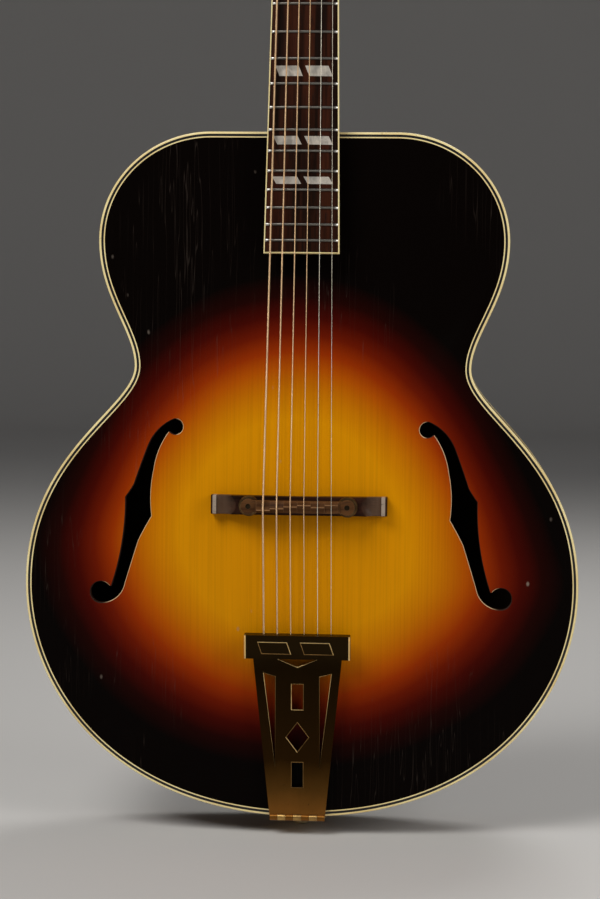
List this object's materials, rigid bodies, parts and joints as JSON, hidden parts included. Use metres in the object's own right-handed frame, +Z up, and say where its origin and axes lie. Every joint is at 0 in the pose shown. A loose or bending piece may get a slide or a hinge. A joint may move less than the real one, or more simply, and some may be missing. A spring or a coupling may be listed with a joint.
{
  "type": "archtop guitar",
  "caption": "Hollow carved-top acoustic guitar with f-shaped sound holes, floating bridge, hinged tailpiece, bound sunburst body and open-geared tuners.",
  "frame": {"origin": "tip of the end pin, on the pin's axis", "axes": "+Z up along the body towards the neck and headstock, -Y out of the front, +X to the treble side"},
  "size_m": [0.4318, 0.1462, 1.0836],
  "materials": {
    "sunburst_spruce": "amber to black sunburst under gloss lacquer",
    "figured_maple": "dark brown sunburst under gloss lacquer",
    "neck_maple": "dark stained, gloss lacquer",
    "inner_wood": "bare wood",
    "cream_binding": "aged cream",
    "black_line": "black",
    "rosewood": "oiled",
    "pearl": "pearl",
    "fret_wire": "polished",
    "bone": "polished bone",
    "black_lacquer": "gloss black",
    "black_plastic": "gloss black",
    "steel": "plain",
    "gold_plate": "worn gold plate",
    "aged_brass": "aged",
    "cream_pin": "aged cream",
    "wound_bronze": "bronze wound",
    "plain_steel": "plain steel"
  },
  "bodies": {
    "guitar_body": {"top_plate": "sunburst_spruce", "back_plate": "figured_maple", "rib_bass": "figured_maple", "rib_treble": "figured_maple", "head_block": "inner_wood", "tail_block": "inner_wood", "top_lining": "inner_wood", "back_lining": "inner_wood", "tone_bars": "inner_wood", "top_binding": "cream_binding", "back_binding": "cream_binding", "top_purfling_black": "black_line", "top_purfling_cream": "cream_binding", "neck": "neck_maple", "heel_cap": "cream_binding", "fingerboard": "rosewood", "fingerboard_binding": "cream_binding", "fret_inlays": "pearl", "frets": "fret_wire", "nut": "bone", "headstock_overlay": "black_lacquer", "truss_rod": "steel", "truss_rod_cover": "black_plastic", "cover_screws": "gold_plate", "tuner_plates": "gold_plate", "tuner_bushings": "gold_plate", "tuner_screws": "gold_plate", "bridge_base": "rosewood", "bridge_studs": "aged_brass", "tailpiece_bracket": "gold_plate", "hinge_pin": "gold_plate", "bracket_screws": "gold_plate", "end_pin": "cream_pin", "string_1": "wound_bronze", "string_2": "wound_bronze", "string_3": "wound_bronze", "string_4": "wound_bronze", "string_5": "plain_steel", "string_6": "plain_steel"},
    "saddle": {"bridge_saddle": "rosewood"},
    "wheel_bass": {"thumbwheel_bass": "aged_brass"},
    "wheel_treble": {"thumbwheel_treble": "aged_brass"},
    "tailpiece": {"tailpiece": "gold_plate"},
    "key_1": {"tuner_key_1": "gold_plate"},
    "post_1": {"tuner_post_1": "gold_plate"},
    "key_2": {"tuner_key_2": "gold_plate"},
    "post_2": {"tuner_post_2": "gold_plate"},
    "key_3": {"tuner_key_3": "gold_plate"},
    "post_3": {"tuner_post_3": "gold_plate"},
    "key_4": {"tuner_key_4": "gold_plate"},
    "post_4": {"tuner_post_4": "gold_plate"},
    "key_5": {"tuner_key_5": "gold_plate"},
    "post_5": {"tuner_post_5": "gold_plate"},
    "key_6": {"tuner_key_6": "gold_plate"},
    "post_6": {"tuner_post_6": "gold_plate"}
  },
  "joints": [
    {"name": "key_1_turn", "type": "hinge", "parent": "guitar_body", "child": "key_1", "pos_m": [-0.027, 0.00021, 0.93917], "axis": [-1, 0, 0], "continuous": true, "deforming": ["string_1"]},
    {"name": "post_1_turn", "type": "hinge", "parent": "guitar_body", "child": "post_1", "pos_m": [-0.027, -0.01526, 0.95275], "axis": [0, -0.9455, 0.3256], "continuous": true, "deforming": ["string_1"]},
    {"name": "key_2_turn", "type": "hinge", "parent": "guitar_body", "child": "key_2", "pos_m": [-0.027, 0.01421, 0.97983], "axis": [-1, 0, 0], "continuous": true, "deforming": ["string_2"]},
    {"name": "post_2_turn", "type": "hinge", "parent": "guitar_body", "child": "post_2", "pos_m": [-0.027, -0.00127, 0.9934], "axis": [0, -0.9455, 0.3256], "continuous": true, "deforming": ["string_2"]},
    {"name": "key_3_turn", "type": "hinge", "parent": "guitar_body", "child": "key_3", "pos_m": [-0.027, 0.02821, 1.02049], "axis": [-1, 0, 0], "continuous": true, "deforming": ["string_3"]},
    {"name": "post_3_turn", "type": "hinge", "parent": "guitar_body", "child": "post_3", "pos_m": [-0.027, 0.01273, 1.03406], "axis": [0, -0.9455, 0.3256], "continuous": true, "deforming": ["string_3"]},
    {"name": "key_4_turn", "type": "hinge", "parent": "guitar_body", "child": "key_4", "pos_m": [0.027, 0.02821, 1.02049], "axis": [1, 0, 0], "continuous": true, "deforming": ["string_4"]},
    {"name": "post_4_turn", "type": "hinge", "parent": "guitar_body", "child": "post_4", "pos_m": [0.027, 0.01273, 1.03406], "axis": [0, -0.9455, 0.3256], "continuous": true, "deforming": ["string_4"]},
    {"name": "key_5_turn", "type": "hinge", "parent": "guitar_body", "child": "key_5", "pos_m": [0.027, 0.01421, 0.97983], "axis": [1, 0, 0], "continuous": true, "deforming": ["string_5"]},
    {"name": "post_5_turn", "type": "hinge", "parent": "guitar_body", "child": "post_5", "pos_m": [0.027, -0.00127, 0.9934], "axis": [0, -0.9455, 0.3256], "continuous": true, "deforming": ["string_5"]},
    {"name": "key_6_turn", "type": "hinge", "parent": "guitar_body", "child": "key_6", "pos_m": [0.027, 0.00021, 0.93917], "axis": [1, 0, 0], "continuous": true, "deforming": ["string_6"]},
    {"name": "post_6_turn", "type": "hinge", "parent": "guitar_body", "child": "post_6", "pos_m": [0.027, -0.01526, 0.95275], "axis": [0, -0.9455, 0.3256], "continuous": true, "deforming": ["string_6"]},
    {"name": "saddle_lift", "type": "slide", "parent": "guitar_body", "child": "saddle", "axis": [0, -1, 0], "range_m": [-0.001, 0.003], "deforming": ["string_1", "string_2", "string_3", "string_4", "string_5", "string_6"]},
    {"name": "wheel_bass_turn", "type": "hinge", "parent": "saddle", "child": "wheel_bass", "pos_m": [-0.0378, -0.07415, 0.26072], "axis": [0, -1, 0], "range_deg": [-451, 1351], "deforming": ["string_1", "string_2", "string_3", "string_4", "string_5", "string_6"]},
    {"name": "wheel_treble_turn", "type": "hinge", "parent": "saddle", "child": "wheel_treble", "pos_m": [0.0378, -0.07415, 0.26072], "axis": [0, -1, 0], "range_deg": [-451, 1351], "deforming": ["string_1", "string_2", "string_3", "string_4", "string_5", "string_6"]},
    {"name": "tailpiece_swing", "type": "hinge", "parent": "guitar_body", "child": "tailpiece", "pos_m": [0, -0.0472, 0.01435], "axis": [1, 0, 0], "range_deg": [-2, 5], "stiffness_Nm_per_rad": 20, "deforming": ["string_1", "string_2", "string_3", "string_4", "string_5", "string_6"]}
  ],
  "couplings": [
    {"joint": "post_1_turn", "follows": "key_1_turn", "ratio": -0.083333},
    {"joint": "post_2_turn", "follows": "key_2_turn", "ratio": -0.083333},
    {"joint": "post_3_turn", "follows": "key_3_turn", "ratio": -0.083333},
    {"joint": "post_4_turn", "follows": "key_4_turn", "ratio": -0.083333},
    {"joint": "post_5_turn", "follows": "key_5_turn", "ratio": -0.083333},
    {"joint": "post_6_turn", "follows": "key_6_turn", "ratio": -0.083333},
    {"joint": "wheel_bass_turn", "follows": "saddle_lift", "rad_per_m": 7854},
    {"joint": "wheel_treble_turn", "follows": "saddle_lift", "rad_per_m": 7854}
  ]
}
